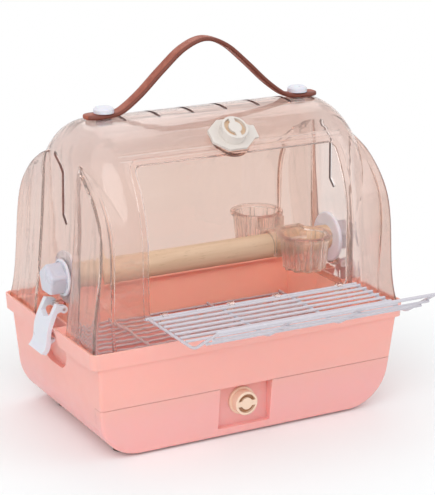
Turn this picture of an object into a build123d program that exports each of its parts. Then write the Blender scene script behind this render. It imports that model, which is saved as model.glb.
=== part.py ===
from build123d import *
from math import atan2, cos, degrees, radians, sin, sqrt, tan
import os

# A bird travel carrier. Lengths are in millimetres and angles in degrees.
# X runs along the carrier, Y from its front (-) to its back (+) and Z up.
# The origin is on the ground, under the middle of the carrier.

# Fits, each used wherever two pieces meet.
running_gap = 0.07  # round pin or shaft in its hole, on the radius
sliding_gap = 0.6  # drawer, cups and other loose sliding pieces, on each side
seat_gap = 0.2  # a loose piece above the face that carries it
clear_gap = 0.4  # pieces that pass each other
curve_gap = 0.7  # a flat piece under the curve of the roof

# Base tub.
rim_length = 330.0
rim_depth = 207.0
rim_top = 109.0
rim_height = 15.0
rim_taper = 3.8
rim_lip = 1.8
rim_corner = 7.0
rim_overhang_end = 7.5
rim_overhang_side = 1.4
tub_wall = 2.6
tub_corner = 42.0
tub_edge = 3.0
end_draft = 0.07
side_draft = 0.1065
foot_height = 2.0
shelf_drop = 5.0
shelf_thickness = 2.2
shelf_half_length = rim_length / 2 - 9.5
shelf_half_depth = rim_depth / 2 - 9.9

# Scoop in each end of the tub, which the latch hangs in.
scoop_half = 28.0
scoop_bottom_z = 67.0
scoop_corner = 18.0
scoop_back_x = rim_length / 2 - 15.0
scoop_wall = 2.2
scoop_rim_half = 17.5
scoop_neck_half = 26.0
scoop_neck_z = 96.0

# Drawer and its front panel.
seam_z = 52.0
seam_gap = 0.5
panel_back_y = -rim_depth / 2 + 19.0
panel_skin = 2.6
recess_left = -33.0
recess_right = 22.6
recess_floor_y = panel_back_y - 1.0
recess_ledge_z = 10.2
recess_corner = 2.0
tray_wall = 2.2
tray_height = 44.0
tray_front_y = panel_back_y + 9.0
tray_back_gap = 3.0
lintel_thickness = 2.4

# Wire floor.
floor_z = 63.5
floor_wire = 2.4
floor_cross_wire = 2.8
floor_pitch = 11.7
floor_half_depth = shelf_half_depth - clear_gap - floor_wire / 2
floor_cross_x = 55.0
floor_scoop_gap = 4.0
floor_support_width = 12.0
floor_support_height = 3.0
floor_support_reach = 4.0

# Feet.
foot_radius = 8.0
foot_x = rim_length / 2 - 44.0
foot_front_y = -rim_depth / 2 + 35.5
foot_back_y = rim_depth / 2 - 47.5

# Clear hood: a barrel-shaped dome with a rounded pillar at each corner.
hood_wall = 2.2
hood_foot_z = rim_top - shelf_drop + seat_gap
hood_end = rim_length / 2
dome_half_depth = rim_depth / 2 - 10.5
dome_spring_z = 190.0
dome_rise = 106.0
dome_ridge_radius = dome_half_depth - 9.0
dome_foot_half_depth = dome_half_depth + 3.0
dome_end_foot_x = hood_end - 18.6
dome_end_top_x = hood_end - 21.8
dome_end_radius = 33.0
pillar_foot = (hood_end - 3.8, -dome_half_depth - 7.9)
pillar_waist = (hood_end - 13.6, -dome_half_depth - 3.6, 196.0)
pillar_head = (hood_end - 16.8, 250.0)
pillar_shoulder = ((-dome_half_depth + 1.0, 217.0), (-dome_half_depth + 13.0, 235.0))
pillar_peak_z = 263.0
pillar_crown = (hood_end - 20.6, 271.0)
pillar_inner_x = hood_end - 26.2
pillar_edge = 4.0
shoulder_inner_x = hood_end - 52.0
channel_half = 34.0

# Openings in the hood.
door_half = shoulder_inner_x - 8.8
door_sill_z = 132.0
door_head_z = 265.0
door_corner = 6.0
frame_width = 5.6
frame_proud = 1.0
roof_slots_x = (17.5, 52.5, 87.5)
roof_slot_length = 36.0
roof_slot_y = 4.5
roof_slot_width = 3.6
end_slot_path = ((-6.0, 204.0), (0.0, 210.0), (0.0, 249.5), (7.3, 256.0), (18.5, 263.0))
end_slot_width = 4.4

# Wire door, drawn open.
hinge_y = -dome_half_depth - 6.6
hinge_z = 133.6
door_wire = 3.1
door_arm = 2.8
door_rod = 2.4
door_flat = 87.3
door_tip = 52.0
door_bend_angle = 33.0
door_bend_radius = 24.0
door_pitch = 10.4
door_rod_count = 7
door_side_x = door_half + 3.8
door_stay_x = 36.0
door_tip_rods = (25.0, 38.5)
door_rod_overhang = 0.7
hinge_ear_x = (24.0, 92.0)
hinge_ear_width = 5.0
hinge_ear_radius = 3.6
weld_sink = 0.3

# Turn knobs. The same head is used on the hood and, smaller, on the drawer.
top_knob_y = -52.4
top_knob_radius = 12.8
top_knob_length = 10.0
top_plate_long = 22.0
top_plate_short = 17.4
top_plate_corner = 9.0
top_plate_thickness = 2.6
top_plate_wing = 25.6
top_plate_facet = 2.0
top_plate_wing_width = 14.0
top_boss_radius = 20.8
top_boss_height = 2.6
knob_shaft_radius = 4.0
retainer_radius = 9.0
retainer_thickness = 2.0
drawer_knob_x = -5.0
drawer_knob_z = 33.0
drawer_knob_radius = 11.5
drawer_knob_length = 9.6
drawer_flange_radius = 13.5
drawer_flange_thickness = 2.4
drawer_tongue_length = 25.0
drawer_tongue_width = 9.0
drawer_tongue_thickness = 2.4
knob_rim = 2.2
knob_hollow = 3.0
knob_eye_share = 0.5
knob_bar_share = 0.42

# Perch, its flanges and its outside nuts.
perch_radius = 12.0
perch_z = 150.0
flange_radius = 24.8
flange_thickness = 3.2
stud_radius = 3.0
stud_in_perch = 18.0
ring_radius = 17.5
ring_thickness = 2.2
ring_window_radius = 14.6
ring_window_width = 2.2
ring_window_angle = 26.0
nut_radius = 15.7
nut_length = 16.0
nut_sides = 5
nut_edge = 3.0
nut_end_wall = 3.0

# Two feed cups, on a clear saddle over the perch.
cup_x = 86.0
cup_offset_y = 46.5
cup_top_z = 173.0
cup_height = 34.0
cup_top_radius = 23.6
cup_bottom_radius = 17.6
cup_flutes = 10
flute_top = (22.2, 2.5)
flute_bottom = (16.4, 4.1)
cup_wall = 1.6
cup_rim_radius = 26.5
cup_rim_height = 3.8
cup_rim_edge = 1.2
cup_bridge_height = 8.0
saddle_thickness = 2.0
saddle_lip_thickness = 1.6
saddle_width = 27.0
saddle_leg_z = 143.0
saddle_lip_z = 151.0
saddle_hook_z = 159.0
cup_tab_thickness = 2.2
cup_tab_gap = 0.3
cup_tab_width = 26.0

# Latches. Their outline is drawn from the side, at the right-hand end.
# The outlines give the distance outside the rim's end, and the height.
latch_width = 31.0
latch_pivot = (rim_length / 2 - 12.6, 124.2)
latch_eye_radius = 3.6
latch_pin_radius = 1.5
latch_pin_recess = 0.3
latch_outside = ((11.2, 84.6), (6.2, 93.0), (5.0, 104.0), (2.4, 113.0), (-1.0, 121.0), (-5.4, 129.6))
latch_inside = ((-10.0, 128.4), (-5.0, 119.6), (-1.8, 111.6), (0.8, 103.4), (1.6, 92.0), (6.4, 82.8))
latch_arm = ((0.0, -1.0), (7.0, -3.0), (5.0, 4.8), (0.0, latch_eye_radius))
latch_notch_z = 115.0
latch_notch_side_z = 119.0
latch_notch_half = 9.6
latch_notch_corner = 3.0
tooth_bottom_z = 89.0
tooth_top_z = 95.6
tooth_gap = 0.3
tooth_depth = 7.0
tooth_edge = 2.0
catch_x = rim_length / 2 - 5.0
catch_z = 96.5
catch_height = 3.5
catch_half_width = 11.0
lug_half_width = 5.4
lug_half_height = 3.0

# Strap handle.
strap_width = 15.0
strap_thickness = 4.4
strap_gap = 0.3
strap_rivet_x = rim_length / 2 - 62.4
strap_tab_radius = 11.0
strap_tab_x = strap_rivet_x + 8.9
strap_flat_x = strap_rivet_x - 8.1
# Shares of strap_flat_x, and heights over the roof.
strap_rise = ((0.889, 6.0), (0.698, 19.2), (0.466, 39.5), (0.233, 57.5), (0.0, 65.0))
strap_steps = 30
rivet_head_radius = 9.6
rivet_head_height = 5.2
rivet_head_edge = 1.8
rivet_shank_radius = 3.0
rivet_shank_end = 1.0
rivet_nut_radius = 8.0
rivet_nut_height = 3.0

tub_half_length = rim_length / 2 - rim_overhang_end
tub_half_depth = rim_depth / 2 - rim_height * tan(radians(rim_taper)) - rim_overhang_side
rim_bottom = rim_top - rim_height
shelf_top = rim_top - shelf_drop
dome_top = dome_spring_z + dome_rise

parts = {}


def across(outline, x_from, x_to):
    """The solid with this (y, z) outline between two values of x."""
    plane = Plane(origin=(x_from, 0, 0), x_dir=(0, 1, 0), z_dir=(1, 0, 0))
    return extrude(plane * outline, x_to - x_from)


def along(outline, y_from, y_to):
    """The solid with this (x, z) outline between two values of y."""
    plane = Plane(origin=(0, y_to, 0), x_dir=(1, 0, 0), z_dir=(0, -1, 0))
    return extrude(plane * outline, y_to - y_from)


def block(x_from, x_to, y_from, y_to, z_from, z_to):
    corner = Pos(x_from, y_from, z_from)
    return corner * Box(x_to - x_from, y_to - y_from, z_to - z_from, align=(Align.MIN,) * 3)


def outline_of(points):
    return make_face(Polyline(*points, close=True))


def turned(start, direction, radius, length):
    """A cylinder from a point, along a direction."""
    axis = Plane(origin=start, z_dir=direction)
    return axis * Cylinder(radius, length, align=(Align.CENTER, Align.CENTER, Align.MIN))


def rod(start, end, radius):
    run = Vector(*end) - Vector(*start)
    return turned(start, tuple(run), radius, run.length)


def both_ends(solid):
    """A piece at the right-hand end and its mirror image at the left-hand end."""
    return {"right": solid, "left": mirror(solid, about=Plane.YZ)}


# ---------------------------------------------------------------- base tub

def tub_half_length_at(z):
    return tub_half_length - end_draft * (rim_bottom - z)


def tub_half_depth_at(z):
    return tub_half_depth - side_draft * (rim_bottom - z)


def tub_form(inset, top):
    """The tub's outer form, shrunk by the inset on every side but the top."""
    low = foot_height + inset
    ends = []
    sides = []
    for z, hand in ((low, -1), (low, 1), (top, 1), (top, -1)):
        ends.append((hand * (tub_half_length_at(z) - inset), z))
        sides.append((hand * (tub_half_depth_at(z) - inset), z))
    front = outline_of(ends)
    front = fillet(front.vertices().group_by(Axis.Y)[0], tub_corner - inset)
    return along(front, -rim_depth, rim_depth) & across(outline_of(sides), -rim_length, rim_length)


def soft_tub_form(top):
    """The outer form with its upright corners rounded."""
    form = tub_form(0, top)
    faces = form.faces().filter_by(lambda face: abs(face.normal_at().Y) > 0.9)
    edges = [edge for face in faces for edge in face.edges()]
    edges = ShapeList(edges).filter_by(lambda edge: edge.center().Z < top - 1)
    return fillet(edges, tub_edge)


def rim_form(inset, z_from, z_to):
    """The rim's tapered band, shrunk by the inset, between two heights."""
    spread = (z_from - rim_top) * tan(radians(rim_taper)) - inset
    flat = RectangleRounded(rim_length + 2 * spread, rim_depth + 2 * spread, rim_corner - inset)
    return extrude(Pos(0, 0, z_from) * flat, z_to - z_from, taper=-rim_taper)


def scoop_outline(grow, top):
    """The (y, z) outline of a scoop, grown by its wall."""
    half, bottom = scoop_half + grow, scoop_bottom_z - grow
    outline = outline_of((
        (-half, bottom),
        (half, bottom),
        (half, scoop_neck_z - 8),
        (scoop_neck_half + grow, scoop_neck_z),
        (scoop_rim_half + grow, top),
        (-scoop_rim_half - grow, top),
        (-scoop_neck_half - grow, scoop_neck_z),
        (-half, scoop_neck_z - 8),
    ))
    return fillet(outline.vertices().group_by(Axis.Y)[0], scoop_corner + grow)


def base_tub(outer):
    tub = outer - tub_form(tub_wall, rim_top)
    rim = rim_form(0, rim_bottom, rim_top)
    rim -= rim_form(rim_lip, shelf_top, rim_top)
    rim -= rim_form(rim_lip, rim_bottom, shelf_top - shelf_thickness)
    rim -= block(
        -shelf_half_length, shelf_half_length, -shelf_half_depth, shelf_half_depth, rim_bottom, rim_top)
    tub += rim
    tub += lintel(outer) + floor_supports(outer)
    inner_x = scoop_back_x - scoop_wall
    for hand in (-1, 1):
        ends = sorted((hand * inner_x, hand * (rim_length / 2 + 1)))
        wall = across(scoop_outline(scoop_wall, rim_top), *ends)
        keep = outer + rim_form(0, rim_bottom, rim_top)
        tub += wall & keep
        ends = sorted((hand * scoop_back_x, hand * (rim_length / 2 + 1)))
        tub -= across(scoop_outline(0, rim_top), *ends)
        reach = sorted((hand * (scoop_back_x - scoop_wall / 2), hand * catch_x))
        tub += block(*reach, -catch_half_width, catch_half_width, catch_z, catch_z + catch_height)
    mouth_y = panel_back_y + clear_gap
    tub -= block(-rim_length, rim_length, -rim_depth, mouth_y, 0, seam_z)
    return tub


def lintel(outer):
    """The ledge over the drawer, which the drawer's tongue catches behind."""
    z_top = seam_z + lintel_thickness
    return block(-rim_length, rim_length, -rim_depth, panel_back_y, seam_z, z_top) & outer


def floor_supports(outer):
    """Small brackets on the front and back walls, under the wire floor."""
    top = floor_z - floor_wire / 2 - seat_gap
    supports = []
    for hand in (-1, 1):
        ys = sorted((hand * (floor_half_depth - floor_support_reach), hand * rim_depth / 2))
        for x in (floor_cross_x, floor_end_x()):
            bracket = block(x - floor_support_width, x, *ys, top - floor_support_height, top)
            supports.extend(both_ends(bracket).values())
    return Compound(supports) & outer


# ---------------------------------------------------------------- drawer

def drawer_panel(outer):
    """The front panel: a skin with a rim that follows the tub's corners, and a recess for the knob."""
    top = seam_z - seam_gap
    slab = outer & block(-rim_length, rim_length, -rim_depth, panel_back_y, 0, top)
    hollow = block(-rim_length, rim_length, -rim_depth, panel_back_y, 0, top - panel_skin)
    panel = slab - (hollow & tub_form(tub_wall, rim_top))
    recess_back = recess_floor_y + panel_skin
    left, right = recess_left - panel_skin, recess_right + panel_skin
    low = recess_ledge_z - panel_skin
    panel += block(left, right, -rim_depth, recess_back, low, top) & tub_form(0, rim_top)
    opening = Pos((recess_left + recess_right) / 2, recess_ledge_z) * RectangleRounded(
        recess_right - recess_left, 2 * top, recess_corner, align=(Align.CENTER, Align.MIN))
    panel -= along(opening, -rim_depth, recess_floor_y)
    shaft = (drawer_knob_x, recess_back + 1, drawer_knob_z)
    return panel - turned(shaft, (0, -1, 0), knob_shaft_radius + running_gap, panel_skin + 2)


def drawer_tray():
    """The litter tray, open at the top, with a gap behind the panel for the tongue."""
    gap = tub_wall + sliding_gap
    back = tub_half_depth_at(foot_height) - tub_wall - tray_back_gap
    drop = Pos(0, 0, seat_gap - sliding_gap)
    outside = drop * tub_form(gap, rim_top)
    outside &= block(-rim_length, rim_length, panel_back_y, back, 0, foot_height + tub_wall + tray_height)
    inside = drop * tub_form(gap + tray_wall, rim_top)
    tray = outside - (inside & block(-rim_length, rim_length, tray_front_y, back - tray_wall, 0, rim_top))
    return tray - (inside & block(-rim_length, rim_length, -rim_depth, tray_front_y - tray_wall, 0, rim_top))


def knob_head(radius, length):
    """A turn knob's head along +Z: a cup with a round eye and a bar across it."""
    head = Cylinder(radius, length, align=(Align.CENTER, Align.CENTER, Align.MIN))
    head = chamfer(head.edges().group_by(Axis.Z)[-1], 0.6)
    hollow = Cylinder(radius - knob_rim, knob_hollow, align=(Align.CENTER, Align.CENTER, Align.MAX))
    down = (Align.CENTER, Align.CENTER, Align.MAX)
    hollow -= Cylinder(radius * knob_eye_share, knob_hollow, align=down)
    hollow -= Box(2 * radius, radius * knob_bar_share, knob_hollow, align=down)
    return head - Pos(0, 0, length) * hollow


def drawer_knob():
    """Knob, flange, shaft and tongue of the drawer's lock; the tongue lies along X when unlocked."""
    face = recess_floor_y - seat_gap
    axis = Plane(origin=(drawer_knob_x, face, drawer_knob_z), x_dir=(1, 0, 0), z_dir=(0, -1, 0))
    up = (Align.CENTER, Align.CENTER, Align.MIN)
    stack = Cylinder(drawer_flange_radius, drawer_flange_thickness, align=up)
    stack += Pos(0, 0, drawer_flange_thickness) * knob_head(drawer_knob_radius, drawer_knob_length)
    shaft_length = panel_skin + 2 * seat_gap
    stack += Cylinder(knob_shaft_radius, shaft_length, align=(Align.CENTER, Align.CENTER, Align.MAX))
    tongue = SlotCenterToCenter(drawer_tongue_length - drawer_tongue_width / 2, drawer_tongue_width)
    tongue = Pos((drawer_tongue_length - drawer_tongue_width / 2) / 2, 0, -shaft_length) * tongue
    stack += extrude(tongue, -drawer_tongue_thickness)
    return axis * stack


# ---------------------------------------------------------------- wire floor

def floor_half_length():
    """The wire floor stops short of the scoops."""
    return scoop_back_x - scoop_wall - floor_scoop_gap


def floor_end_x():
    return floor_half_length() - floor_cross_wire


def floor_grille():
    """Wires along the carrier, with cross wires welded over them."""
    radius, cross = floor_wire / 2, floor_cross_wire / 2
    half = floor_half_length()
    count = int(floor_half_depth / floor_pitch)
    rows = [n * floor_pitch for n in range(-count, count + 1)]
    rods = []
    for y in [-floor_half_depth, *rows, floor_half_depth]:
        rods.append(rod((-half, y, floor_z), (half, y, floor_z), radius))
    cross_z = floor_z + radius + cross - weld_sink
    for x in (-floor_end_x(), -floor_cross_x, floor_cross_x, floor_end_x()):
        rods.append(rod((x, -floor_half_depth, cross_z), (x, floor_half_depth, cross_z), cross))
    return rods[0].fuse(*rods[1:])


# ---------------------------------------------------------------- hood

def dome_end_x_at(z):
    """How far out the hood's end wall stands at a height."""
    slope = (dome_end_foot_x - dome_end_top_x) / (dome_top - hood_foot_z)
    return dome_end_foot_x - slope * (z - hood_foot_z)


def barrel_form(inset, half_length):
    """An arch of three tangent arcs on two flared walls, along X."""
    half, foot = dome_half_depth - inset, dome_foot_half_depth - inset
    ridge = Vector(0, dome_top - dome_ridge_radius)
    ridge_height = dome_rise - dome_ridge_radius
    flank_radius = dome_half_depth ** 2 + ridge_height ** 2 - dome_ridge_radius ** 2
    flank_radius /= 2 * (dome_half_depth - dome_ridge_radius)
    flank = Vector(dome_half_depth - flank_radius, dome_spring_z)
    join = ridge + (ridge - flank).normalized() * (dome_ridge_radius - inset)
    edges = [ThreePointArc((-join.X, join.Y), (0, dome_top - inset), (join.X, join.Y))]
    for hand in (-1, 1):
        spring = (hand * half, dome_spring_z)
        edges.append(TangentArc(spring, (hand * join.X, join.Y), tangent=(0, 1)))
        edges.append(TangentArc(spring, (hand * foot, hood_foot_z), tangent=(0, -1)))
    edges.append(Line((-foot, hood_foot_z), (foot, hood_foot_z)))
    barrel = across(make_face(edges), -half_length, half_length)
    top = dome_top + frame_width
    ends = outline_of((
        (-dome_end_x_at(hood_foot_z) + inset, hood_foot_z),
        (dome_end_x_at(hood_foot_z) - inset, hood_foot_z),
        (dome_end_x_at(top) - inset, top),
        (-dome_end_x_at(top) + inset, top),
    ))
    return barrel & along(ends, -rim_depth, rim_depth)


def dome_form(inset):
    """The barrel with its ends rounded over."""
    barrel = barrel_form(inset, rim_length)
    ends = barrel.faces().filter_by(lambda face: abs(face.normal_at().X) > 0.9)
    edges = ShapeList([edge for face in ends for edge in face.edges()])
    edges = edges.filter_by(lambda edge: edge.center().Z > hood_foot_z + 1)
    return fillet(edges, dome_end_radius - inset)


def pillar_side(inset):
    """The (y, z) outline of a pillar, shrunk by the inset."""
    waist = (pillar_waist[1] + inset, pillar_waist[2])
    (low_y, low_z), (high_y, high_z) = pillar_shoulder
    low = (low_y + inset, low_z - inset / 2)
    high = (high_y + inset / 2, high_z - inset)
    peak = (-channel_half - inset, pillar_peak_z - inset)
    foot = (pillar_foot[1] + inset, hood_foot_z)
    front = Spline(foot, waist, low, high, peak)
    back = Polyline(peak, (peak[0], hood_foot_z), foot)
    return make_face([front, back])


def shoulder_side(inset):
    """The (y, z) outline under a shoulder: it leaves the flank of the barrel in a tighter arc."""
    spring = (-dome_half_depth + inset, dome_spring_z)
    peak = (-channel_half - inset, pillar_peak_z - inset)
    arc = TangentArc(spring, peak, tangent=(0, 1))
    rest = Polyline(
        peak, (peak[0], hood_foot_z), (-rim_depth, hood_foot_z), (-rim_depth, dome_spring_z), spring)
    return make_face([arc, rest])


def pillar_end(inset):
    """The (x, z) outline of a pillar, shrunk by the inset."""
    foot = (pillar_foot[0] - inset, hood_foot_z)
    head = (pillar_head[0] - inset, pillar_head[1])
    rise = ThreePointArc(foot, (pillar_waist[0] - inset, pillar_waist[2]), head)
    crown_x, crown_z = pillar_crown
    inner = pillar_inner_x + inset
    rest = Polyline(head, (crown_x - inset, crown_z), (inner, crown_z), (inner, hood_foot_z), foot)
    return make_face([rise, rest])


def pillar_form(inset):
    """The right-hand front pillar and the shoulder that joins it to the dome."""
    side = across(pillar_side(inset), shoulder_inner_x, rim_length)
    pillar = along(pillar_end(inset), -rim_depth, 0) & side
    shoulder = barrel_form(inset, rim_length) & across(shoulder_side(inset), shoulder_inner_x, rim_length)
    if inset == 0:
        edges = pillar.edges().filter_by(lambda edge: edge.center().X > pillar_inner_x + 2)
        edges = edges.filter_by(lambda edge: edge.center().Z > hood_foot_z + 1)
        pillar = fillet(edges, pillar_edge)
    return pillar + shoulder


def hood_form(inset):
    pillar = pillar_form(inset)
    pair = pillar + mirror(pillar, about=Plane.XZ)
    return dome_form(inset) + pair + mirror(pair, about=Plane.YZ)


def knob_plane():
    """The plane on the dome's front slope that the top knob turns on, with Z outwards."""
    height = sqrt(dome_ridge_radius ** 2 - top_knob_y ** 2)
    origin = (0, top_knob_y, dome_top - dome_ridge_radius + height)
    return Plane(origin=origin, x_dir=(1, 0, 0), z_dir=(0, top_knob_y, height))


def doorway(grow):
    """The doorway cut from the front, grown all round."""
    outline = Pos(0, (door_sill_z + door_head_z) / 2) * RectangleRounded(
        2 * (door_half + grow), door_head_z - door_sill_z + 2 * grow, door_corner + grow)
    return along(outline, -rim_depth, -dome_half_depth / 2)


def hood_slots():
    """The vents: six across the roof and one down each end."""
    slots = []
    for x in roof_slots_x:
        slot = SlotOverall(roof_slot_length, roof_slot_width, rotation=90)
        slots.append(extrude(Pos(x, roof_slot_y, dome_top - 3 * hood_wall) * slot, 6 * hood_wall))
    for start, end in zip(end_slot_path, end_slot_path[1:]):
        run = Vector(*end) - Vector(*start)
        middle = (Vector(*end) + Vector(*start)) / 2
        slot = SlotCenterToCenter(run.length, end_slot_width, rotation=degrees(atan2(run.Y, run.X)))
        slots.append(across(Pos(middle.X, middle.Y) * slot, pillar_inner_x, rim_length / 2))
    return [piece for slot in slots for piece in both_ends(slot).values()]


def latch_lug():
    """The lug on the right-hand end wall that the latch pin runs through."""
    x, z = latch_pivot
    lug = rod((x, -lug_half_width, z), (x, lug_half_width, z), lug_half_height)
    width, height = lug_half_width, lug_half_height
    lug += block(dome_end_top_x, x, -width, width, z - height, z + height)
    return lug - rod((x, -rim_depth, z), (x, rim_depth, z), latch_pin_radius + running_gap)


def hinge_ears():
    """The ears below the doorway that the door's hinge wire turns in."""
    low = door_sill_z - frame_width / 2
    ear = Pos(hinge_y, hinge_z) * Circle(hinge_ear_radius)
    ear += outline_of((
        (hinge_y - hinge_ear_radius, hinge_z),
        (hinge_y + hinge_ear_radius, hinge_z),
        (-dome_half_depth, low + 1),
        (-dome_half_depth, low - 4),
    ))
    ear -= Pos(hinge_y, hinge_z) * Circle(door_wire / 2 + running_gap)
    ears = []
    for x in hinge_ear_x:
        ears.append(across(ear, x - hinge_ear_width / 2, x + hinge_ear_width / 2))
    return [piece for ear in ears for piece in both_ends(ear).values()]


def hood_shell():
    inside = hood_form(hood_wall)
    mid_wall = dome_form(hood_wall / 2)
    shell = hood_form(0) - inside
    for slot in hood_slots():
        shell -= slot
    shell -= doorway(0)
    shell += knob_plane() * Cylinder(top_boss_radius, 2 * top_boss_height) - mid_wall
    frame = doorway(frame_width) - doorway(0)
    shell += (dome_form(-frame_proud) & frame) - mid_wall
    for lug in both_ends(latch_lug()).values():
        shell += lug - inside
    for ear in hinge_ears():
        shell += ear - mid_wall
    shell -= rod((-rim_length, 0, perch_z), (rim_length, 0, perch_z), stud_radius + running_gap)
    for x in (-strap_rivet_x, strap_rivet_x):
        shell -= rod((x, 0, dome_spring_z), (x, 0, 2 * dome_top), rivet_shank_radius + running_gap)
    return shell - knob_plane() * Cylinder(knob_shaft_radius + running_gap, 4 * top_boss_height)


# ---------------------------------------------------------------- wire door

def bent_wire(x, tip, radius):
    """A wire from the hinge, flat and then bent up to the tip."""
    tangent = door_bend_radius * tan(radians(door_bend_angle) / 2)
    start = (x, hinge_y - door_flat + tangent, hinge_z)
    centre = Axis((x, start[1], hinge_z + door_bend_radius), (-1, 0, 0))
    section = Plane(origin=start, z_dir=(0, -1, 0)) * Circle(radius)
    bend = revolve(section, centre, door_bend_angle)
    end = bend.faces().sort_by(Axis.Y)[0].center()
    return [rod((x, hinge_y, hinge_z), start, radius), bend, rod(tuple(end), (x, *tip), radius)]


def wire_door():
    """Four wires that run out flat and bend upwards, with thinner rods welded across them."""
    radius, arm, thin = door_wire / 2, door_arm / 2, door_rod / 2
    angle = radians(door_bend_angle)
    ahead, square = (-cos(angle), sin(angle)), (sin(angle), cos(angle))
    corner_y = hinge_y - door_flat
    tip = (corner_y + door_tip * ahead[0], hinge_z + door_tip * ahead[1])
    hinge_half = door_side_x + door_wire
    wires = [rod((-hinge_half, hinge_y, hinge_z), (hinge_half, hinge_y, hinge_z), radius)]
    tip_half = door_side_x + arm + weld_sink
    wires.append(rod((-tip_half, *tip), (tip_half, *tip), radius))
    for x in (-door_side_x, -door_stay_x, door_stay_x, door_side_x):
        wires.extend(bent_wire(x, tip, arm))
    offset = arm + thin - weld_sink
    rows = [(hinge_y - door_pitch * (n + 1), hinge_z + offset) for n in range(door_rod_count)]
    for along_tip in door_tip_rods:
        y = corner_y + along_tip * ahead[0] - offset * square[0]
        rows.append((y, hinge_z + along_tip * ahead[1] - offset * square[1]))
    half = door_side_x + door_rod_overhang
    for row in rows:
        wires.append(rod((-half, *row), (half, *row), thin))
    return wires[0].fuse(*wires[1:])


# ---------------------------------------------------------------- top knob

def top_knob():
    """The knob over its eight-sided plate; the plate's wing turns down over the closed door."""
    long, short, corner = top_plate_long, top_plate_short, top_plate_corner
    side = corner - top_plate_facet
    plate = outline_of((
        (long, side), (corner, short), (-corner, short), (-long, side),
        (-long, -side), (-corner, -short), (corner, -short), (long, -side),
    ))
    plate += Rectangle(top_plate_wing, top_plate_wing_width, align=(Align.MIN, Align.CENTER))
    low = top_boss_height + seat_gap
    knob = Pos(0, 0, low) * extrude(plate, top_plate_thickness)
    head = Rot(0, 0, 90) * knob_head(top_knob_radius, top_knob_length)
    knob += Pos(0, 0, low + top_plate_thickness) * head
    foot = -hood_wall - retainer_thickness - curve_gap
    knob += Pos(0, 0, foot) * Cylinder(
        knob_shaft_radius, low - foot, align=(Align.CENTER, Align.CENTER, Align.MIN))
    return knob_plane() * knob


def top_knob_retainer():
    ring = Cylinder(retainer_radius, retainer_thickness, align=(Align.CENTER, Align.CENTER, Align.MAX))
    ring -= Cylinder(knob_shaft_radius, 4 * retainer_thickness)
    return knob_plane() * Pos(0, 0, -hood_wall - curve_gap) * ring


# ---------------------------------------------------------------- perch

def perch_half_length():
    """The dowel ends at its flange, which lies just inside the hood's end wall."""
    return dome_end_x_at(perch_z + flange_radius) - hood_wall - clear_gap - flange_thickness


def ring_inner_x():
    return dome_end_x_at(perch_z - ring_radius) + seat_gap


def nut_inner_x():
    return ring_inner_x() + ring_thickness + seat_gap


def perch_dowel():
    half = perch_half_length()
    dowel = rod((-half, 0, perch_z), (half, 0, perch_z), perch_radius)
    studs = both_ends(rod((half - stud_in_perch, 0, perch_z), (rim_length, 0, perch_z), stud_radius))
    return dowel.cut(*studs.values())


def perch_flange():
    flange = turned((perch_half_length(), 0, perch_z), (1, 0, 0), flange_radius, flange_thickness)
    flange = fillet(flange.edges().sort_by(Axis.X)[0], flange_thickness / 2)
    return flange - turned((0, 0, perch_z), (1, 0, 0), stud_radius, rim_length)


def perch_ring():
    """The plate behind the outside nut, with a curved window beside each of the nut's faces."""
    plate = Cylinder(ring_radius, ring_thickness, align=(Align.CENTER, Align.CENTER, Align.MIN))
    plate = chamfer(plate.edges().group_by(Axis.Z)[-1], 0.6)
    for n in range(nut_sides):
        middle = 90 + (n + 0.5) * 360 / nut_sides
        arc = CenterArc((0, 0), ring_window_radius, middle - ring_window_angle / 2, ring_window_angle)
        plate -= extrude(SlotArc(arc, ring_window_width), ring_thickness)
    plate -= Cylinder(stud_radius + running_gap, 3 * ring_thickness)
    return Plane(origin=(ring_inner_x(), 0, perch_z), x_dir=(0, 1, 0), z_dir=(1, 0, 0)) * plate


def perch_stud():
    start = perch_half_length() - stud_in_perch
    length = nut_inner_x() + nut_length - nut_end_wall - start
    return turned((start, 0, perch_z), (1, 0, 0), stud_radius, length)


def perch_nut():
    """A five-sided nut with soft edges and a blind hole for the stud."""
    nut = extrude(RegularPolygon(nut_radius, nut_sides, rotation=90), nut_length)
    nut = fillet(nut.edges().filter_by(Axis.Z), nut_edge)
    nut = fillet(nut.edges().group_by(Axis.Z)[-1], nut_edge)
    hole = Cylinder(stud_radius + running_gap, nut_length, align=(Align.CENTER, Align.CENTER, Align.MIN))
    nut -= Pos(0, 0, -nut_end_wall + seat_gap) * hole
    return Plane(origin=(nut_inner_x(), 0, perch_z), x_dir=(0, 1, 0), z_dir=(1, 0, 0)) * nut


# ---------------------------------------------------------------- feed cups

def fluted_cone(inset, length, low):
    """A round taper with flutes all round, deepest at the bottom, standing on a height."""
    bottom, top = cup_bottom_radius - inset, cup_top_radius - inset
    cone = Cone(bottom, top, length, align=(Align.CENTER, Align.CENTER, Align.MIN))
    ribs = []
    for n in range(cup_flutes):
        turn = radians(360 * n / cup_flutes)
        ends = []
        for height, (reach, radius) in ((0, flute_bottom), (length, flute_top)):
            ends.append(Pos(reach * cos(turn), reach * sin(turn), height) * Circle(radius - inset))
        ribs.append(loft(ends))
    return Pos(0, 0, low) * cone.fuse(*ribs)


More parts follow.
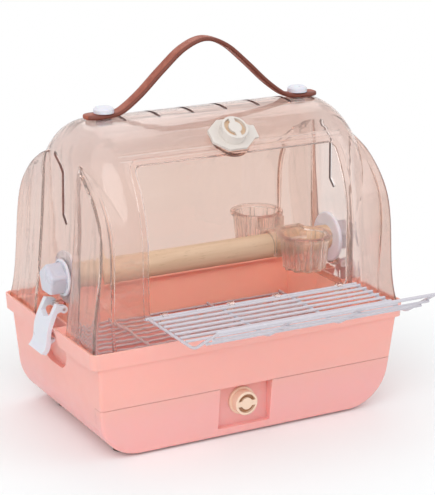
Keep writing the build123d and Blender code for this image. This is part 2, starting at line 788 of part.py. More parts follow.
def feed_cup(hand):
    """A fluted cup with a rim, on a tab that hooks into the saddle."""
    low = cup_top_z - cup_height
    rim_z = cup_top_z - cup_rim_height
    rim = Cylinder(cup_rim_radius, cup_rim_height, align=(Align.CENTER, Align.CENTER, Align.MIN))
    rim = fillet(rim.edges().filter_by(GeomType.CIRCLE), cup_rim_edge)
    cup = fluted_cone(0, cup_height, low) + Pos(0, 0, rim_z) * rim
    tab_near = cup_offset_y - saddle_outer() - cup_tab_gap
    tab_far = tab_near - cup_tab_thickness
    half = cup_tab_width / 2
    cup += block(-half, half, tab_far, tab_near, saddle_leg_z + saddle_thickness + seat_gap, cup_top_z)
    cup += block(-half, half, cup_top_radius / 2, tab_near, rim_z - cup_bridge_height, cup_top_z)
    cup -= fluted_cone(cup_wall, cup_height, low + cup_wall)
    return Pos(cup_x, hand * cup_offset_y, 0) * (cup if hand < 0 else Rot(0, 0, 180) * cup)


def saddle_outer():
    return perch_radius + seat_gap + saddle_thickness


def cup_saddle():
    """A clear strip bent over the perch, with a hook on each side for a cup's tab."""
    inner = perch_radius + seat_gap
    outer = saddle_outer()
    slot = outer + cup_tab_thickness + 2 * cup_tab_gap
    edge = slot + saddle_lip_thickness
    strip = Pos(0, perch_z) * Circle(outer)
    lip, leg = saddle_lip_z, saddle_leg_z
    strip += outline_of(((-edge, lip), (edge, lip), (edge, leg), (-edge, leg)))
    inside = Pos(0, perch_z) * Circle(inner)
    inside += outline_of(((-inner, perch_z), (inner, perch_z), (inner, 0), (-inner, 0)))
    floor = leg + saddle_thickness
    for near, far in ((outer, slot), (-slot, -outer)):
        inside += outline_of(((near, floor), (far, floor), (far, saddle_hook_z), (near, saddle_hook_z)))
    return across(strip - inside, cup_x - saddle_width / 2, cup_x + saddle_width / 2)


# ---------------------------------------------------------------- latches

def latch():
    """The right-hand latch, with two prongs that hold its pin and a tooth under the catch."""
    rim_end = rim_length / 2
    outside = [(rim_end + x, z) for x, z in latch_outside]
    inside = [(rim_end + x, z) for x, z in latch_inside]
    top_edge, bottom_edge = Line(outside[-1], inside[0]), Line(inside[-1], outside[0])
    outline = make_face([Spline(*outside), top_edge, Spline(*inside), bottom_edge])
    half = latch_width / 2
    x, z = latch_pivot
    body = along(outline, -half, half) + rod((x, -half, z), (x, half, z), latch_eye_radius)
    body += along(outline_of([(x + reach, z + rise) for reach, rise in latch_arm]), -half, half)
    face = catch_x + tooth_gap
    tooth = outline_of((
        (face, tooth_top_z),
        (face, tooth_top_z - tooth_edge),
        (face + tooth_depth, tooth_bottom_z),
        (face + tooth_depth, tooth_top_z),
    ))
    body += along(tooth, -catch_half_width, catch_half_width)
    notch_top = z + 4 * latch_eye_radius
    notch = outline_of((
        (-latch_notch_half, latch_notch_side_z),
        (0, latch_notch_z),
        (latch_notch_half, latch_notch_side_z),
        (latch_notch_half, notch_top),
        (-latch_notch_half, notch_top),
    ))
    notch = fillet(notch.vertices().sort_by(Axis.Y)[0], latch_notch_corner)
    body -= across(notch, dome_end_top_x, rim_length)
    return body - rod((x, -rim_depth, z), (x, rim_depth, z), latch_pin_radius)


def latch_pin():
    x, z = latch_pivot
    half = latch_width / 2 - latch_pin_recess
    return rod((x, -half, z), (x, half, z), latch_pin_radius)


# ---------------------------------------------------------------- strap handle

def whole_strap(half):
    """A curve through these points of the right-hand half and their mirror images."""
    return Spline(*half, *[(-x, z) for x, z in reversed(half[:-1])])


def strap_handle():
    """A flat strap that rises from two round tabs riveted to the roof."""
    low = dome_top + strap_gap
    high = low + strap_thickness
    rise = [(share * strap_flat_x, dome_top + height) for share, height in strap_rise]
    centre = Spline((strap_flat_x, (low + high) / 2), *rise, tangents=((-1, 0), (-1, 0)))
    upper, lower = [], []
    for step in range(strap_steps + 1):
        at = centre @ (step / strap_steps)
        side = (centre % (step / strap_steps)) * (strap_thickness / 2)
        upper.append((at.X + side.Y, at.Y - side.X))
        lower.append((at.X - side.Y, at.Y + side.X))
    end = strap_tab_x + 2 * strap_tab_radius
    right = Polyline(upper[0], (end, high), (end, low), lower[0])
    left = Polyline((-strap_flat_x, high), (-end, high), (-end, low), (-strap_flat_x, low))
    profile = make_face([whole_strap(upper), right, whole_strap(lower), left])
    ribbon = along(profile, -strap_width, strap_width)
    plan = Rectangle(2 * strap_tab_x, strap_width)
    for hand in (-1, 1):
        plan += Pos(hand * strap_tab_x, 0) * Circle(strap_tab_radius)
        plan -= Pos(hand * strap_rivet_x, 0) * Circle(rivet_shank_radius + strap_gap)
    return ribbon & extrude(plan, 2 * dome_top)


def strap_rivet():
    x = strap_rivet_x
    seat = dome_top + 2 * strap_gap + strap_thickness
    cap = rod((x, 0, seat), (x, 0, seat + rivet_head_height), rivet_head_radius)
    cap = chamfer(cap.edges().sort_by(Axis.Z)[-1], rivet_head_edge)
    foot = dome_top - hood_wall - curve_gap - rivet_nut_height - rivet_shank_end
    return cap + rod((x, 0, foot), (x, 0, seat), rivet_shank_radius)


def rivet_nut():
    top = dome_top - hood_wall - curve_gap
    nut = Pos(strap_rivet_x, 0, top) * extrude(RegularPolygon(rivet_nut_radius, 6), -rivet_nut_height)
    return nut - rod((strap_rivet_x, 0, 0), (strap_rivet_x, 0, top + 1), rivet_shank_radius)


# ---------------------------------------------------------------- assembly

def rubber_foot(x, y, outer):
    return rod((x, y, 0), (x, y, tub_corner / 4), foot_radius) - outer


outer = soft_tub_form(shelf_top)
parts["base_tub"] = base_tub(outer)
parts["drawer_front"] = drawer_panel(outer)
parts["drawer_tray"] = drawer_tray()
parts["drawer_knob"] = drawer_knob()
parts["floor_grille"] = floor_grille()
for side, x in (("left", -foot_x), ("right", foot_x)):
    parts["foot_front_" + side] = rubber_foot(x, foot_front_y, outer)
    parts["foot_back_" + side] = rubber_foot(x, foot_back_y, outer)
parts["hood_shell"] = hood_shell()
parts["wire_door"] = wire_door()
parts["top_knob"] = top_knob()
parts["top_knob_retainer"] = top_knob_retainer()
parts["perch_dowel"] = perch_dowel()
parts["cup_saddle"] = cup_saddle()
parts["feed_cup_front"] = feed_cup(-1)
parts["feed_cup_back"] = feed_cup(1)
parts["strap_handle"] = strap_handle()
pairs = {
    "perch_flange": perch_flange(),
    "perch_stud": perch_stud(),
    "perch_ring": perch_ring(),
    "perch_nut": perch_nut(),
    "latch": latch(),
    "latch_pin": latch_pin(),
    "strap_rivet": strap_rivet(),
    "rivet_nut": rivet_nut(),
}
for name, solid in pairs.items():
    for side, piece in both_ends(solid).items():
        parts[name + "_" + side] = piece

os.makedirs("parts", exist_ok=True)
for name, solid in parts.items():
    export_step(solid, f"parts/{name}.step")
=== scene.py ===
"""A bird travel carrier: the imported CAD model's materials, its leather strap, and the studio around it."""
import math

import bmesh
import bpy
from mathutils import Matrix, Vector


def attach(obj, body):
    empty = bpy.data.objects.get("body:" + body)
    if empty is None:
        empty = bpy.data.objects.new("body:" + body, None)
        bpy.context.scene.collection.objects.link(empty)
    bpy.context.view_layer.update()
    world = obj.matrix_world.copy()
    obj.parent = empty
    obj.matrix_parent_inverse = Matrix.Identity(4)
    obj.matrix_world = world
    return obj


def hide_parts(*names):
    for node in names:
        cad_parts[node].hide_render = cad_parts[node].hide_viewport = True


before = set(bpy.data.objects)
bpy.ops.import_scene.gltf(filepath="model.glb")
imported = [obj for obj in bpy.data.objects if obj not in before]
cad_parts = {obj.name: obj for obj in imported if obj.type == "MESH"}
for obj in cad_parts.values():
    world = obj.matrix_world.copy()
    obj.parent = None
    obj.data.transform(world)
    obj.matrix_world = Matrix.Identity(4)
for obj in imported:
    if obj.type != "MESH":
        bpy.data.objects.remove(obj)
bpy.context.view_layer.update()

MM = 0.001

# Camera: angles in degrees, lengths in metres, lens and sensor in millimetres.
CAMERA_AZIMUTH = -28.674
CAMERA_ELEVATION = 16.916
CAMERA_DISTANCE = 1.703621
CAMERA_ROLL = 0.284
CAMERA_AIM_RIGHT = 0.014143
CAMERA_AIM_UP = 0.158249
CAMERA_LENS = 129.13
CAMERA_SENSOR = 36.0

# Lamps: azimuth and elevation in degrees, distance and size in metres, power in watts.
LAMPS = {
    "key": (-42, 36, 1.6, 1.7, 12.6),
    "fill": (45, 40, 1.8, 1.5, 4.0),
    "back": (160, 50, 1.7, 1.5, 5.0),
}
LAMP_AIM = Vector((0.0, 0.0, 0.17))
WORLD_STRENGTH = 0.68
FLOOR_RADIUS = 6.0
FLOOR_FADE = (0.20, 0.44)

# Colours, as linear red, green and blue.
SALMON = (0.94, 0.45, 0.39)
# Painted light: the pinker tint of the tub low down.
SALMON_LOW_PAINTED_LIGHT = (0.95, 0.45, 0.425)
# Painted light: the tub's inner walls, brighter and warmer as if lit by light bounced inside.
SALMON_INSIDE_PAINTED_LIGHT = (1.0, 0.54, 0.425)
# Painted shade: the tray deep in the drawer, darker than the same plastic elsewhere.
SALMON_TRAY_PAINTED_SHADE = (0.80, 0.33, 0.28)
CREAM = (0.90, 0.68, 0.52)
# Painted shade in the drawer knob's hollow.
CREAM_HOLLOW_PAINTED_SHADE = (0.42, 0.20, 0.10)
WHITE = (0.73, 0.73, 0.79)
# Painted shade: a darker copy of the white for the perch nuts, which sit in shade.
WHITE_NUT_PAINTED_SHADE = (0.60, 0.59, 0.66)
WHITE_WARM = (0.72, 0.66, 0.61)
# Painted shade in the top knob's hollow.
WHITE_HOLLOW_PAINTED_SHADE = (0.70, 0.50, 0.34)
WIRE = (0.56, 0.53, 0.58)
WOOD_PALE = (0.72, 0.54, 0.39)
WOOD_DARK = (0.46, 0.29, 0.17)
LEATHER = (0.40, 0.098, 0.048)
LEATHER_DEEP = (0.30, 0.065, 0.035)
# Dark leather for the grain's crevices, and painted shade for the strap's sides.
LEATHER_GRAIN_AND_PAINTED_SHADE = (0.15, 0.035, 0.02)
RUBBER = (0.06, 0.03, 0.025)
STEEL = (0.62, 0.62, 0.63)
HOOD_TINT = (0.978, 0.955, 0.95)
# Painted light: the deeper tint the hood takes towards the back and right.
HOOD_TINT_BACK_PAINTED_LIGHT = (0.84, 0.69, 0.625)
# Painted shade: the dark rim where the hood's wall is seen edge-on.
HOOD_EDGE_PAINTED_SHADE = (0.26, 0.18, 0.19)
# Painted shade: the dark walls of the hood's vent cuts.
HOOD_CUT_PAINTED_SHADE = (0.16, 0.10, 0.11)
CUP_TINT = (0.98, 0.95, 0.93)
# Painted shade: the cups' rim colour where they are seen edge-on.
CUP_EDGE_PAINTED_SHADE = (0.86, 0.74, 0.64)
ABSORB = (0.865, 0.612, 0.497)
WORLD = (0.97, 0.98, 1.0)
FLOOR = (0.92, 0.95, 0.95)

# Places on the hood, in metres: the vents in its roof and ends, and the ledge over its doorway.
ROOF_CUT_Z = 0.282
ROOF_CUT_Y = (-0.03, 0.03)
END_CUT_X = 0.12
END_CUT_Y = (-0.010, 0.023)
END_CUT_Z = (0.200, 0.268)
LEDGE_STEPS_Z = ((0.2688, 0.2695), (0.2728, 0.2735))
LEDGE_Y = -0.03
LEDGE_REACH = 0.116

# Where clear plastic gets painted light and shade: a deeper tint towards the back and on the right, and a
# painted rim where it is seen edge-on.
BACK_RANGE = (0.02, 0.10)
BACK_LEAN = 0.25
RIGHT_RANGE = (0.10, 0.17)
RIGHT_SHARE = 0.45
RIM_RANGE = (0.84, 0.985)
CLEAR_IOR = 1.48

# Salmon plastic: heights in metres where the painted pink light low down fades, and depths past which a wall
# is an inner one, brightened by painted light.
PINK_RANGE_Z = (0.065, 0.025)
INNER_RANGE = (-0.03, -0.06)
INNER_RANGE_Z = (0.04, 0.06)
MOTTLE_SHARE = 0.22

# A knob's face gets painted shade between these shares of its hollow's depth, and within its radius less
# this.
HOLLOW_START = (0.55, 0.85)
HOLLOW_FLOOR = (1.35, 1.1)
HOLLOW_EDGE = 0.0002


# ---------------------------------------------------------------- materials

def feed(tree, value, socket):
    """Links the value to the socket where it is a node's output, and sets it there otherwise."""
    if hasattr(value, "links"):
        tree.links.new(value, socket)
    else:
        socket.default_value = value


def rgba(value):
    """A colour with its alpha; anything else as it is."""
    return (*value, 1.0) if isinstance(value, tuple) and len(value) == 3 else value


def mix_shaders(tree, share, first, second):
    """The first shader where the share is 0, the second where it is 1."""
    mixer = tree.nodes.new("ShaderNodeMixShader")
    feed(tree, share, mixer.inputs[0])
    tree.links.new(first.outputs[0], mixer.inputs[1])
    tree.links.new(second.outputs[0], mixer.inputs[2])
    return mixer


class Nodes:
    """A small helper over one material's node tree."""

    def __init__(self, name):
        self.material = bpy.data.materials.new(name)
        self.material.use_nodes = True
        self.tree = self.material.node_tree
        self.shader = self.tree.nodes["Principled BSDF"]
        self.output = self.tree.nodes["Material Output"]
        self.place = self.add("ShaderNodeTexCoord").outputs["Object"]

    def add(self, kind, **values):
        node = self.tree.nodes.new(kind)
        for key, value in values.items():
            setattr(node, key, value)
        return node

    def link(self, source, target):
        self.tree.links.new(source, target)

    def put(self, node, **values):
        """Feeds a node's named inputs."""
        for key, value in values.items():
            feed(self.tree, value, node.inputs[key.replace("_", " ")])
        return node

    def set(self, **values):
        """Feeds the main shader's named inputs."""
        self.put(self.shader, **{key: rgba(value) for key, value in values.items()})

    def stretched(self, scale):
        mapping = self.add("ShaderNodeMapping")
        self.put(mapping, Vector=self.place, Scale=scale)
        return mapping.outputs["Vector"]

    def noise(self, scale, detail=3.0, rough=0.5, stretch=None):
        node = self.add("ShaderNodeTexNoise")
        where = self.place if stretch is None else self.stretched(stretch)
        self.put(node, Vector=where, Scale=scale, Detail=detail, Roughness=rough)
        return node.outputs["Fac"]

    def ramp(self, source, low, high, start=0.0, end=1.0):
        """A number that runs from start to end as the source runs from low to high."""
        node = self.add("ShaderNodeMapRange", interpolation_type="SMOOTHSTEP")
        self.put(node, Value=source, From_Min=low, From_Max=high, To_Min=start, To_Max=end)
        return node.outputs["Result"]

    def mix(self, share, first, second):
        """The first colour where the share is 0, the second where it is 1."""
        node = self.add("ShaderNodeMix", data_type="RGBA")
        for socket, value in ((0, share), (6, first), (7, second)):
            feed(self.tree, rgba(value), node.inputs[socket])
        return node.outputs[2]

    def math(self, operation, *values):
        node = self.add("ShaderNodeMath", operation=operation)
        for socket, value in zip(node.inputs, values):
            feed(self.tree, value, socket)
        return node.outputs[0]

    def times(self, first, *more):
        """The product of its values."""
        for value in more:
            first = self.math("MULTIPLY", first, value)
        return first

    def products(self, one, two):
        """The sum of two products, each given as a pair."""
        return self.math("ADD", self.times(*one), self.times(*two))

    def split(self, vector):
        node = self.add("ShaderNodeSeparateXYZ")
        self.link(vector, node.inputs[0])
        return node.outputs

    def axes(self):
        """X, Y and Z of the place on the piece, in metres."""
        return self.split(self.place)

    def facing(self):
        """X, Y and Z of the surface's normal."""
        return self.split(self.add("ShaderNodeTexCoord").outputs["Normal"])

    def base(self):
        """What feeds the main shader's colour."""
        return self.shader.inputs["Base Color"].links[0].from_socket

    def bump(self, *layers):
        """Bump layers, each a height, a strength and a depth in metres."""
        normal = None
        for height, strength, depth in layers:
            node = self.add("ShaderNodeBump")
            self.put(node, Height=height, Strength=strength, Distance=depth)
            if normal is not None:
                self.link(normal, node.inputs["Normal"])
            normal = node.outputs["Normal"]
        self.link(normal, self.shader.inputs["Normal"])


def shade(colour, share):
    """A colour with each of its parts times the share."""
    return tuple(share * part for part in colour)


def moulded(name, colour, deep, rough=0.32, grain=2600.0, coat=0.0):
    """Moulded plastic: faint flow marks, fine grain and slightly uneven gloss."""
    n = Nodes(name)
    flow = n.noise(9.0, 2.0, stretch=(1.0, 1.0, 2.2))
    cloud = n.noise(55.0, 4.0)
    mottle = n.ramp(n.products((flow, 0.7), (cloud, 0.3)), 0.25, 0.8)
    n.set(Base_Color=n.mix(n.times(mottle, MOTTLE_SHARE), colour, deep))
    n.set(Roughness=n.ramp(cloud, 0.3, 0.7, rough - 0.04, rough + 0.07))
    n.set(Coat_Weight=coat, Coat_Roughness=0.12)
    n.bump((n.noise(grain, 2.0), 0.10, 0.00005), (n.noise(30.0, 2.0), 0.12, 0.0004))
    return n


def salmon_plastic(name="salmon_plastic", colour=SALMON):
    """The tub's plastic: painted light makes it pinker low down and brighter and warmer on its inner walls,
    and it is lit through where thin.
    """
    n = moulded(name, colour, shade(colour, 0.85), rough=0.36)
    axes, facing = n.axes(), n.facing()
    # Painted light: pinker low down.
    pinker = n.mix(n.ramp(axes["Z"], *PINK_RANGE_Z), n.base(), SALMON_LOW_PAINTED_LIGHT)
    outward = n.products((axes["X"], facing["X"]), (axes["Y"], facing["Y"]))
    inside = n.times(n.ramp(outward, *INNER_RANGE), n.ramp(axes["Z"], *INNER_RANGE_Z))
    # Painted light: the inner walls are brightened towards this colour.
    n.set(Base_Color=n.mix(inside, pinker, SALMON_INSIDE_PAINTED_LIGHT))
    n.set(Subsurface_Weight=0.45, Subsurface_Scale=0.006)
    n.shader.inputs["Subsurface Radius"].default_value = (1.0, 0.35, 0.25)
    return n.material


def white_plastic(name, colour):
    n = moulded(name, colour, shade(colour, 0.93), rough=0.3)
    n.set(Subsurface_Weight=0.15, Subsurface_Scale=0.003)
    return n.material


def knob_plastic(name, colour, deep, centre, normal, radius, length, hollow):
    """A knob's plastic, with painted shade down in the hollow of its face.

    The centre is on the knob's seat, the normal is its axis, and the radius, length and hollow are in metres.
    """
    n = moulded(name, colour, shade(colour, 0.9), rough=0.3)
    offset = n.add("ShaderNodeVectorMath", operation="SUBTRACT")
    n.link(n.place, offset.inputs[0])
    offset.inputs[1].default_value = centre
    height = n.add("ShaderNodeVectorMath", operation="DOT_PRODUCT")
    n.link(offset.outputs[0], height.inputs[0])
    height.inputs[1].default_value = normal
    reach = n.add("ShaderNodeVectorMath", operation="LENGTH")
    n.link(offset.outputs[0], reach.inputs[0])
    up = height.outputs["Value"]
    reach_squared = n.math("POWER", reach.outputs["Value"], 2.0)
    out = n.math("SQRT", n.math("SUBTRACT", reach_squared, n.math("POWER", up, 2.0)))
    sunk = n.ramp(up, *(length - hollow * share for share in HOLLOW_START))
    above = n.ramp(up, *(length - hollow * share for share in HOLLOW_FLOOR))
    inside = n.ramp(out, radius, radius - HOLLOW_EDGE)
    # Painted shade down in the knob's hollow.
    n.set(Base_Color=n.mix(n.times(sunk, above, inside), n.base(), deep))
    return n.material


def coated_wire():
    return moulded("coated_wire", WIRE, shade(WIRE, 0.88), rough=0.22, grain=900.0, coat=0.7).material


def perch_wood():
    """Planed pale wood, with fibres, soft bands and short dark flecks along the perch."""
    n = Nodes("perch_wood")
    fibre = n.noise(420.0, 5.0, 0.6, stretch=(0.05, 1.0, 1.0))
    bands = n.noise(60.0, 3.0, 0.55, stretch=(0.08, 1.0, 1.0))
    fleck = n.ramp(n.noise(900.0, 2.0, 0.5, stretch=(0.12, 1.0, 1.0)), 0.62, 0.74)
    wood = n.mix(n.products((n.ramp(bands, 0.3, 0.7), 0.55), (fibre, 0.3)), WOOD_PALE, WOOD_DARK)
    n.set(Base_Color=n.mix(n.times(fleck, 0.4), wood, shade(WOOD_DARK, 0.7)))
    n.set(Roughness=n.ramp(fibre, 0.3, 0.7, 0.5, 0.68))
    n.bump((fibre, 0.25, 0.0002), (fleck, 0.2, 0.0001))
    return n.material


def strap_leather():
    """Leather with a fine pebbled grain, lighter along its crown, and darkened at its sides by painted shade.
    """
    n = Nodes("strap_leather")
    cells = n.add("ShaderNodeTexVoronoi", feature="SMOOTH_F1")
    n.put(cells, Vector=n.place, Scale=1250.0)
    pebble = cells.outputs["Distance"]
    cloud = n.noise(120.0, 4.0)
    side = n.math("ABSOLUTE", n.axes()["Y"])
    painted_edge_shade = n.ramp(side, *(STRAP_HALF_WIDTH - inset for inset in STRAP_EDGE_INSETS))
    body = n.mix(n.ramp(cloud, 0.3, 0.72), LEATHER, LEATHER_DEEP)
    body = n.mix(n.times(n.ramp(pebble, 0.1, 0.6), 0.22), body, LEATHER_GRAIN_AND_PAINTED_SHADE)
    # Painted shade on the strap's sides.
    n.set(Base_Color=n.mix(n.times(painted_edge_shade, 0.9), body, LEATHER_GRAIN_AND_PAINTED_SHADE))
    n.set(Roughness=n.ramp(cloud, 0.3, 0.7, 0.48, 0.64))
    n.bump((pebble, 0.3, 0.00018), (n.noise(2600.0, 3.0), 0.2, 0.00006))
    return n.material


def clear_plastic(name, tint, tint_back_painted_light, painted_edge_shade, density, wave, see_through):
    """Clear moulded plastic: light passes, painted light deepens its tint towards the back and right, painted
    shade marks its edge-on rims and vent cuts, and the surface is slightly wavy.
    """
    n = Nodes(name)
    # Painted shade on the vent cuts' walls, over the clear colour.
    colour = n.mix(vent_cuts(n), painted_clear_colour(n, tint, tint_back_painted_light, painted_edge_shade), HOOD_CUT_PAINTED_SHADE)
    gloss = n.ramp(n.noise(7.0, 2.0), 0.35, 0.7, 0.02, 0.06)
    n.set(Base_Color=colour, Roughness=gloss, IOR=CLEAR_IOR, Transmission_Weight=1.0)
    n.bump((moulding_streaks(n), wave, 0.004), (n.noise(70.0, 2.0), wave * 0.25, 0.0006),
           (doorway_ledge(n), 1.0, 0.0006))
    straight = n.add("ShaderNodeBsdfTransparent")
    n.link(colour, straight.inputs[0])
    lamp_light = n.add("ShaderNodeBsdfTransparent")
    lamp_light.inputs[0].default_value = (1.0, 1.0, 1.0, 1.0)
    shadow_ray = n.add("ShaderNodeLightPath").outputs["Is Shadow Ray"]
    seen = mix_shaders(n.tree, see_through, n.shader, straight)
    whole = mix_shaders(n.tree, shadow_ray, seen, lamp_light)
    n.link(whole.outputs[0], n.output.inputs["Surface"])
    volume = n.put(n.add("ShaderNodeVolumeAbsorption"), Color=rgba(ABSORB), Density=density)
    n.link(volume.outputs[0], n.output.inputs["Volume"])
    return n.material


def painted_clear_colour(n, tint, tint_back_painted_light, painted_edge_shade):
    """Clear plastic's colour: painted light makes it stronger towards the back and the right, and painted
    shade makes it dark where it is seen edge-on.
    """
    axes = n.axes()
    along = n.math("ADD", axes["Y"], n.times(axes["X"], BACK_LEAN))
    right = n.times(n.ramp(axes["X"], *RIGHT_RANGE), RIGHT_SHARE)
    # Painted light: a deeper tint towards the back and right.
    colour = n.mix(n.math("MAXIMUM", n.ramp(along, *BACK_RANGE), right), tint, tint_back_painted_light)
    edge_on = n.put(n.add("ShaderNodeLayerWeight"), Blend=0.5)
    # Painted shade: dark where the wall is seen edge-on.
    return n.mix(n.ramp(edge_on.outputs["Facing"], *RIM_RANGE), colour, painted_edge_shade)


def moulding_streaks(n):
    """Long waves in clear plastic, down its walls and across its roof."""
    upright = n.noise(22.0, 2.0, 0.5, stretch=(1.5, 1.5, 0.4))
    level = n.noise(22.0, 2.0, 0.5, stretch=(0.2, 1.6, 1.0))
    facing_up = n.ramp(n.math("ABSOLUTE", n.facing()["Z"]), 0.3, 0.8)
    return n.products((level, facing_up), (upright, n.math("SUBTRACT", 1.0, facing_up)))


def doorway_ledge(n):
    """Two fine steps, one above the other, in the hood's front over its doorway."""
    axes = n.axes()
    ledge = n.math("ADD", *(n.ramp(axes["Z"], *step) for step in LEDGE_STEPS_Z))
    within = n.math("LESS_THAN", n.math("ABSOLUTE", axes["X"]), LEDGE_REACH)
    return n.times(ledge, n.times(n.math("LESS_THAN", axes["Y"], LEDGE_Y), within))


def vent_cuts(n):
    """1 on the cut walls of the hood's vents, which get painted shade, 0 elsewhere."""
    axes, facing = n.axes(), n.facing()

    def near(axis, low, high):
        return n.times(n.math("GREATER_THAN", axis, low), n.math("LESS_THAN", axis, high))

    def across(axis):
        return n.math("LESS_THAN", n.math("ABSOLUTE", facing[axis]), 0.5)

    top = n.times(across("Z"), near(axes["Z"], ROOF_CUT_Z, 1.0), near(axes["Y"], *ROOF_CUT_Y))
    end = n.times(across("X"), near(axes["Z"], *END_CUT_Z), near(axes["Y"], *END_CUT_Y),
                  near(n.math("ABSOLUTE", axes["X"]), END_CUT_X, 1.0))
    return n.math("MAXIMUM", top, end)


def foot_rubber():
    n = Nodes("foot_rubber")
    speck = n.noise(1800.0, 3.0)
    n.set(Base_Color=n.mix(speck, RUBBER, shade(RUBBER, 1.8)))
    n.set(Roughness=n.ramp(speck, 0.3, 0.7, 0.6, 0.8))
    n.bump((speck, 0.3, 0.0001))
    return n.material


def brushed_steel():
    n = Nodes("brushed_steel")
    lines = n.noise(900.0, 4.0, 0.6, stretch=(1.0, 8.0, 8.0))
    n.set(Base_Color=n.mix(lines, STEEL, shade(STEEL, 0.8)), Metallic=1.0)
    n.set(Roughness=n.ramp(lines, 0.3, 0.7, 0.25, 0.42))
    n.bump((lines, 0.2, 0.00005))
    return n.material


# ---------------------------------------------------------------- objects

def place_object(name, data):
    """Puts an object with this data in the scene."""
    placed = bpy.data.objects.new(name, data)
    bpy.context.scene.collection.objects.link(placed)
    return placed


def place_mesh(name, mesh, material):
    """Turns a bmesh into an object of the scene, with its material."""
    data = bpy.data.meshes.new(name)
    mesh.to_mesh(data)
    mesh.free()
    data.materials.append(material)
    return place_object(name, data)


# ---------------------------------------------------------------- strap

STRAP_HALF_WIDTH = 7.5 * MM
STRAP_HALF_THICKNESS = 2.2 * MM
STRAP_EDGE_INSETS = (2.6 * MM, 1.2 * MM)
STRAP_TIP_HALF_WIDTH = 0.4 * MM
STRAP_NECK_X = 94.0 * MM
STRAP_TAB_X = 111.5 * MM
STRAP_TAB_RADIUS = 11.0 * MM
STRAP_TAB_FULL = 0.6  # the share of the tab's radius at which it has its full thickness
STRAP_ROUNDING = (0.45, 0.7)  # powers of the section's outline, across and up: 1 is an ellipse, 0 a box

# The middle of the strap from its tab to its crown, across and up, in mm; the other half mirrors it.
STRAP_RISE = (
    (122.5, 298.5), (111.5, 298.5), (102.6, 298.5), (94.5, 298.6),
    (84.0, 302.0), (66.0, 315.2), (44.0, 335.5), (22.0, 353.5), (0.0, 361.0),
)
STRAP_STEPS = 12
STRAP_RING = 20


def catmull(points, steps):
    """A smooth line through the points, with its direction at each place."""
    ends = [2 * points[0] - points[1], *points, 2 * points[-1] - points[-2]]
    line = []
    for before, start, end, after in zip(ends, ends[1:], ends[2:], ends[3:]):
        for step in range(steps):
            t = step / steps
            straight = end - before
            bend = 2 * before - 5 * start + 4 * end - after
            twist = 3 * start - before - 3 * end + after
            place = 0.5 * (2 * start + straight * t + bend * t ** 2 + twist * t ** 3)
            slope = 0.5 * (straight + 2 * bend * t + 3 * twist * t ** 2)
            line.append((place, slope.normalized()))
    line.append((points[-1], (points[-1] - points[-2]).normalized()))
    return line


def strap_half_width(x):
    """Half the strap's width at a distance along the carrier: a round tab, then a narrower neck."""
    past = abs(x) - STRAP_TAB_X
    if past > 0:
        return math.sqrt(max(STRAP_TAB_RADIUS ** 2 - past ** 2, 0.0))
    share = min(max((abs(x) - STRAP_NECK_X) / (STRAP_TAB_X - STRAP_NECK_X), 0.0), 1.0)
    return STRAP_HALF_WIDTH + (STRAP_TAB_RADIUS - STRAP_HALF_WIDTH) * share ** 2 * (3 - 2 * share)


def rounded(part, power):
    """A sine or cosine pushed outwards, which squares off an outline."""
    return math.copysign(abs(part) ** power, part)


def make_strap(material):
    """The leather handle: rings of points along its line, joined into one closed skin."""
    half = [Vector((x * MM, 0.0, z * MM)) for x, z in STRAP_RISE]
    points = half + [Vector((-p.x, 0.0, p.z)) for p in reversed(half[:-1])]
    mesh = bmesh.new()
    rings = []
    for place, slope in catmull(points, STRAP_STEPS):
        up = Vector((-slope.z, 0.0, slope.x))
        if up.z < 0:
            up.negate()
        width = max(strap_half_width(place.x), STRAP_TIP_HALF_WIDTH)
        fullness = min(width / (STRAP_TAB_FULL * STRAP_TAB_RADIUS), 1.0)
        thickness = STRAP_HALF_THICKNESS * math.sqrt(fullness)
        ring = []
        for step in range(STRAP_RING):
            turn = 2 * math.pi * (step + 0.5) / STRAP_RING
            y = rounded(math.cos(turn), STRAP_ROUNDING[0]) * width
            z = rounded(math.sin(turn), STRAP_ROUNDING[1]) * thickness
            ring.append(mesh.verts.new(place + Vector((0, y, 0)) + up * z))
        rings.append(ring)
    for one, two in zip(rings, rings[1:]):
        for step in range(STRAP_RING):
            after = (step + 1) % STRAP_RING
            mesh.faces.new((one[step], one[after], two[after], two[step]))
    mesh.faces.new(rings[0][::-1])
    mesh.faces.new(rings[-1])
    bmesh.ops.recalc_face_normals(mesh, faces=mesh.faces)
    strap = place_mesh("strap", mesh, material)
    strap.data.shade_smooth()
    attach(strap, "hood")
    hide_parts("strap_handle")


# ---------------------------------------------------------------- dressing

def dress(prefix, material):
    """Gives every CAD node whose name starts with the prefix this material."""
    for name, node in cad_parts.items():
        if name.startswith(prefix):
            node.data.materials.clear()
            node.data.materials.append(material)


TOP_KNOB = {
    "centre": Vector((0.0, -0.0524, 0.277652)), "normal": Vector((0.0, -0.62381, 0.781576)),
    "radius": 0.0106, "length": 0.0154, "hollow": 0.003,
}
DRAWER_KNOB = {
    "centre": Vector((-0.005, -0.0857, 0.033)), "normal": Vector((0.0, -1.0, 0.0)),
    "radius": 0.0093, "length": 0.012, "hollow": 0.003,
}

white = white_plastic("white_plastic", WHITE)
clear_hood = clear_plastic("clear_hood", HOOD_TINT, HOOD_TINT_BACK_PAINTED_LIGHT, HOOD_EDGE_PAINTED_SHADE,
                           density=90.0, wave=0.6, see_through=0.12)
clear_cup = clear_plastic("clear_cup", CUP_TINT, CUP_TINT, CUP_EDGE_PAINTED_SHADE,
                          density=25.0, wave=0.3, see_through=0.25)
salmon = salmon_plastic()
steel = brushed_steel()
wire = coated_wire()
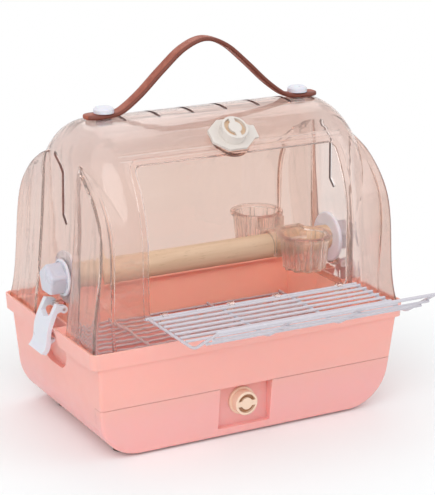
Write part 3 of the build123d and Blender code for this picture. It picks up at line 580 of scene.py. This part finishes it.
# A later row overrides an earlier one.
for prefix, material in (
    ("base_tub", salmon),
    ("drawer_", salmon),
    # Painted shade: the tray is darkened as if in the drawer's shadow.
    ("drawer_tray", salmon_plastic("tray_painted_shade", SALMON_TRAY_PAINTED_SHADE)),
    # Painted shade in the drawer knob's hollow.
    ("drawer_knob", knob_plastic("cream_knob", CREAM, CREAM_HOLLOW_PAINTED_SHADE, **DRAWER_KNOB)),
    ("foot_", foot_rubber()),
    ("hood_shell", clear_hood),
    ("feed_cup", clear_cup),
    ("cup_saddle", clear_cup),
    ("wire_door", wire),
    ("floor_grille", wire),
    ("perch_", white),
    # Painted shade: the nuts take a darker copy of the white.
    ("perch_nut", white_plastic("nut_white_painted_shade", WHITE_NUT_PAINTED_SHADE)),
    ("perch_dowel", perch_wood()),
    ("perch_stud", steel),
    ("latch_", white),
    ("latch_pin", steel),
    ("strap_rivet", white),
    ("rivet_nut", white),
    # Painted shade in the top knob's hollow.
    ("top_knob", knob_plastic("white_knob", WHITE_WARM, WHITE_HOLLOW_PAINTED_SHADE, **TOP_KNOB)),
):
    dress(prefix, material)
make_strap(strap_leather())


# ---------------------------------------------------------------- stage

def seen_share(tree):
    """1 for camera, glossy and transmission rays, 0 for the rest."""
    path = tree.nodes.new("ShaderNodeLightPath")
    share = path.outputs["Is Camera Ray"]
    for ray in ("Is Glossy Ray", "Is Transmission Ray"):
        either = tree.nodes.new("ShaderNodeMath")
        either.operation = "MAXIMUM"
        tree.links.new(share, either.inputs[0])
        tree.links.new(path.outputs[ray], either.inputs[1])
        share = either.outputs[0]
    return share


def make_world():
    """Pale light on the object; what is seen of the world, straight or in gloss and glass, is white."""
    world = bpy.data.worlds.new("studio")
    bpy.context.scene.world = world
    world.use_nodes = True
    tree = world.node_tree
    plain = tree.nodes["Background"]
    plain.inputs["Color"].default_value = rgba(WORLD)
    plain.inputs["Strength"].default_value = WORLD_STRENGTH
    bright = tree.nodes.new("ShaderNodeBackground")
    bright.inputs["Color"].default_value = (1.0, 1.0, 1.0, 1.0)
    bright.inputs["Strength"].default_value = 1.0
    whole = mix_shaders(tree, seen_share(tree), plain, bright)
    tree.links.new(whole.outputs[0], tree.nodes["World Output"].inputs["Surface"])


def make_floor():
    """A pale floor that keeps the object's shadow and fades to white away from it."""
    mesh = bmesh.new()
    bmesh.ops.create_circle(mesh, cap_ends=True, radius=FLOOR_RADIUS, segments=96)
    n = Nodes("floor")
    n.set(Base_Color=FLOOR, Roughness=0.9, Specular_IOR_Level=0.1)
    bright = n.add("ShaderNodeEmission")
    reach = n.add("ShaderNodeVectorMath", operation="LENGTH")
    n.link(n.place, reach.inputs[0])
    share = n.times(n.ramp(reach.outputs["Value"], *FLOOR_FADE), seen_share(n.tree))
    whole = mix_shaders(n.tree, share, n.shader, bright)
    n.link(whole.outputs[0], n.output.inputs["Surface"])
    place_mesh("floor", mesh, n.material)


def direction(azimuth, elevation):
    """The direction at these angles in degrees; azimuth 0 is the front, and it grows to the right."""
    a, e = math.radians(azimuth), math.radians(elevation)
    return Vector((math.sin(a) * math.cos(e), -math.cos(a) * math.cos(e), math.sin(e)))


def make_lamp(name, azimuth, elevation, distance, size, power):
    """A round soft lamp aimed at the middle of the carrier."""
    data = bpy.data.lights.new(name, "AREA")
    data.shape = "DISK"
    data.size = size
    data.energy = power
    lamp = place_object(name, data)
    away = direction(azimuth, elevation)
    lamp.location = LAMP_AIM + away * distance
    lamp.rotation_euler = (-away).to_track_quat("-Z", "Y").to_euler()


def make_camera():
    """The photograph's camera: it looks along its direction, with a slight roll."""
    a = math.radians(CAMERA_AZIMUTH)
    away = direction(CAMERA_AZIMUTH, CAMERA_ELEVATION)
    right = Vector((math.cos(a), math.sin(a), 0.0))
    up = away.cross(right)
    roll = math.radians(CAMERA_ROLL)
    across = right * math.cos(roll) + up * math.sin(roll)
    above = up * math.cos(roll) - right * math.sin(roll)
    place = right * CAMERA_AIM_RIGHT + Vector((0, 0, CAMERA_AIM_UP)) + away * CAMERA_DISTANCE
    data = bpy.data.cameras.new("camera")
    data.lens = CAMERA_LENS
    data.sensor_width = CAMERA_SENSOR
    camera = place_object("camera", data)
    turn = Matrix((across, above, away)).transposed().to_4x4()
    camera.matrix_world = Matrix.Translation(place) @ turn
    bpy.context.scene.camera = camera


make_world()
make_floor()
for lamp_name, lamp_row in LAMPS.items():
    make_lamp(lamp_name, *lamp_row)
make_camera()
bpy.context.scene.view_settings.view_transform = "Standard"
